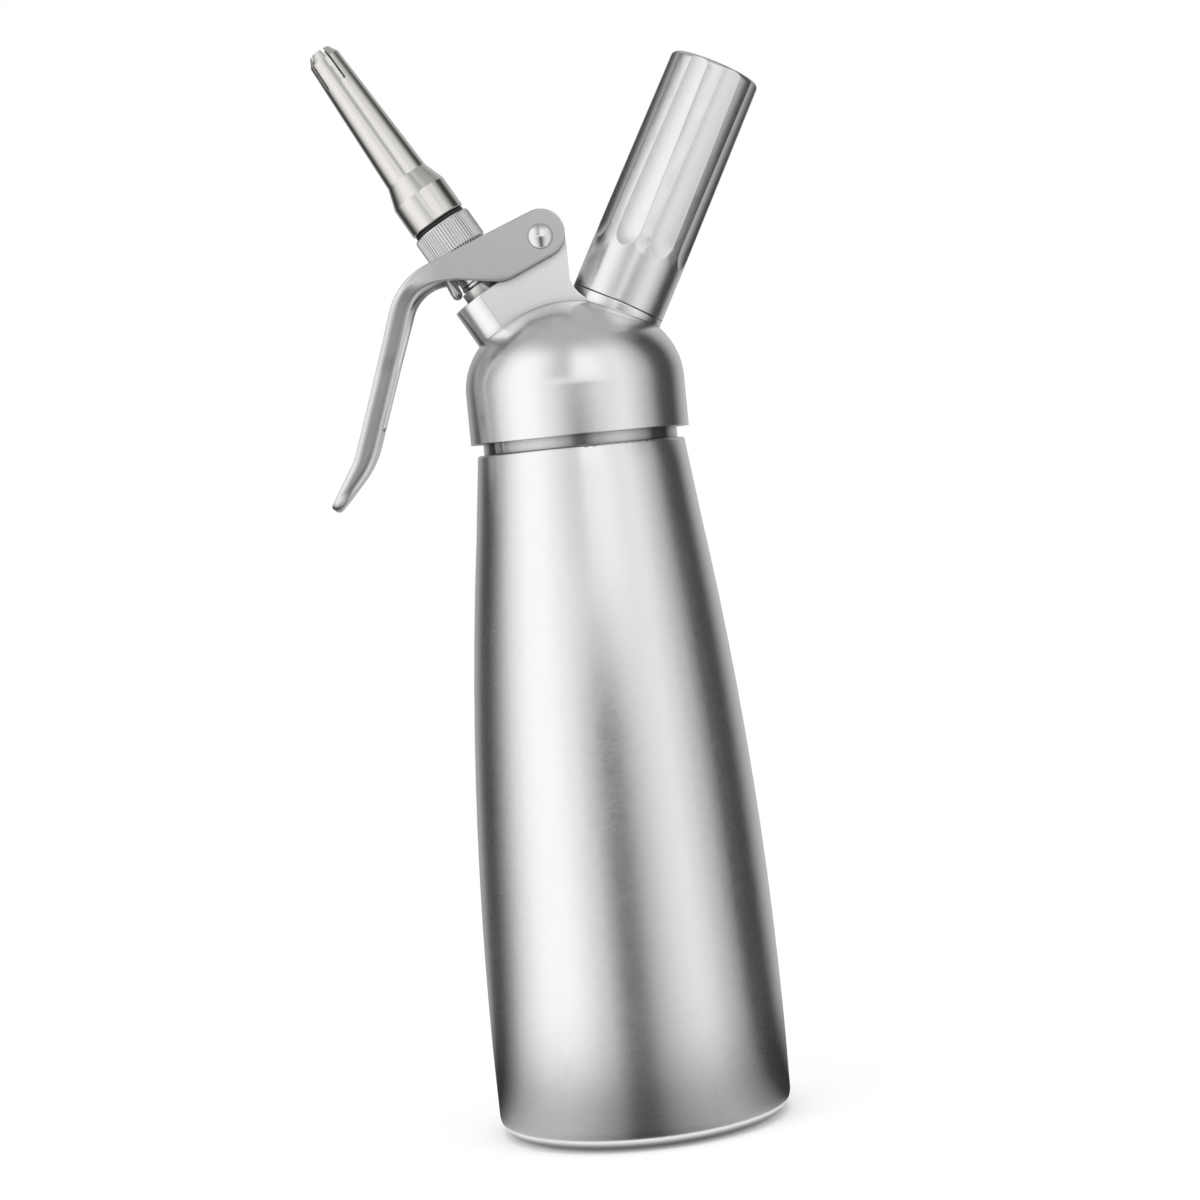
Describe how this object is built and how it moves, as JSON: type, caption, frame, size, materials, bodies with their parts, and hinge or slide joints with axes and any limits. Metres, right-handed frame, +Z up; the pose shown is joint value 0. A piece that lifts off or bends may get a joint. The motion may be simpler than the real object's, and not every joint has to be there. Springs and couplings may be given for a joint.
{
  "type": "whipped cream dispenser",
  "caption": "Hand-held cream whipper: tapered metal bottle, screw-on domed head with squeeze lever, leaning slit nozzle and fluted gas cartridge holder.",
  "frame": {"origin": "middle of the bottle's flat base", "axes": "+Z up the bottle's axis, -X towards the nozzle and lever, Y across the lever"},
  "size_m": [0.1281, 0.082, 0.306],
  "materials": {
    "satin_steel": "brushed around the axis, satin",
    "head_aluminium": "satin polished casting",
    "lever_aluminium": "matt satin casting with polished edges",
    "holder_aluminium": "satin anodised",
    "nozzle_steel": "polished, slightly warm",
    "knurled_metal": "knurled, satin",
    "valve_steel": "turned steel",
    "pin_steel": "polished",
    "spring_steel": "blackish spring steel",
    "black_rubber": "smooth black rubber",
    "red_silicone": "soft red silicone",
    "gas_brass": "turned brass",
    "charger_steel": "plain pressed steel"
  },
  "bodies": {
    "bottle": {"bottle": "satin_steel"},
    "gasket": {"head_gasket": "red_silicone"},
    "head": {"head": "head_aluminium", "guide_cup": "valve_steel", "pivot_pin": "pin_steel", "pivot_clip": "spring_steel", "gas_valve_body": "gas_brass", "gas_valve_gasket": "black_rubber", "nonreturn_sleeve": "red_silicone", "piercing_pin": "pin_steel", "charger_gasket": "black_rubber"},
    "lever": {"lever": "lever_aluminium"},
    "valve": {"valve_stem": "valve_steel", "stem_oring": "black_rubber", "valve_seal": "red_silicone", "seal_retainer": "valve_steel", "spring_washer": "valve_steel", "thrust_collar": "valve_steel", "valve_spring": "spring_steel", "adapter_ring": "knurled_metal"},
    "nozzle_seal": {"nozzle_seal": "black_rubber"},
    "nozzle": {"nozzle": "nozzle_steel"},
    "cartridge": {"charger": "charger_steel"},
    "holder": {"charger_holder": "holder_aluminium"}
  },
  "joints": [
    {"name": "head_lift", "type": "slide", "parent": "bottle", "child": "gasket", "axis": [0, 0, 1], "range_m": [0, 0.012]},
    {"name": "head_turn", "type": "hinge", "parent": "gasket", "child": "head", "pos_m": [0, 0, 0.2], "axis": [0, 0, 1], "range_deg": [0, 1080]},
    {"name": "lever_pivot", "type": "hinge", "parent": "head", "child": "lever", "pos_m": [-0.0055, 0, 0.2472], "axis": [0, -1, 0], "range_deg": [0, 6.4]},
    {"name": "valve_slide", "type": "slide", "parent": "head", "child": "valve", "axis": [0.4939, 0, -0.8695], "range_m": [0, 0.0023], "stiffness_N_per_m": 900, "springref_m": -0.005, "deforming": ["valve_spring"]},
    {"name": "nozzle_lift", "type": "slide", "parent": "valve", "child": "nozzle_seal", "axis": [-0.4939, 0, 0.8695], "range_m": [0, 0.006]},
    {"name": "nozzle_turn", "type": "hinge", "parent": "nozzle_seal", "child": "nozzle", "pos_m": [-0.03458, 0, 0.25716], "axis": [-0.4939, 0, 0.8695], "range_deg": [0, 1440]},
    {"name": "holder_lift", "type": "slide", "parent": "head", "child": "cartridge", "axis": [0.4726, 0, 0.8813], "range_m": [0, 0.009]},
    {"name": "holder_turn", "type": "hinge", "parent": "cartridge", "child": "holder", "pos_m": [0.02835, 0, 0.25438], "axis": [0.4726, 0, 0.8813], "range_deg": [0, 2160]}
  ],
  "couplings": [
    {"joint": "head_lift", "follows": "head_turn", "m_per_rad": 0.00063662},
    {"joint": "valve_slide", "follows": "lever_pivot", "m_per_rad": 0.020359},
    {"joint": "nozzle_turn", "follows": "nozzle_lift", "rad_per_m": 4188.8},
    {"joint": "holder_turn", "follows": "holder_lift", "rad_per_m": 4188.8}
  ]
}
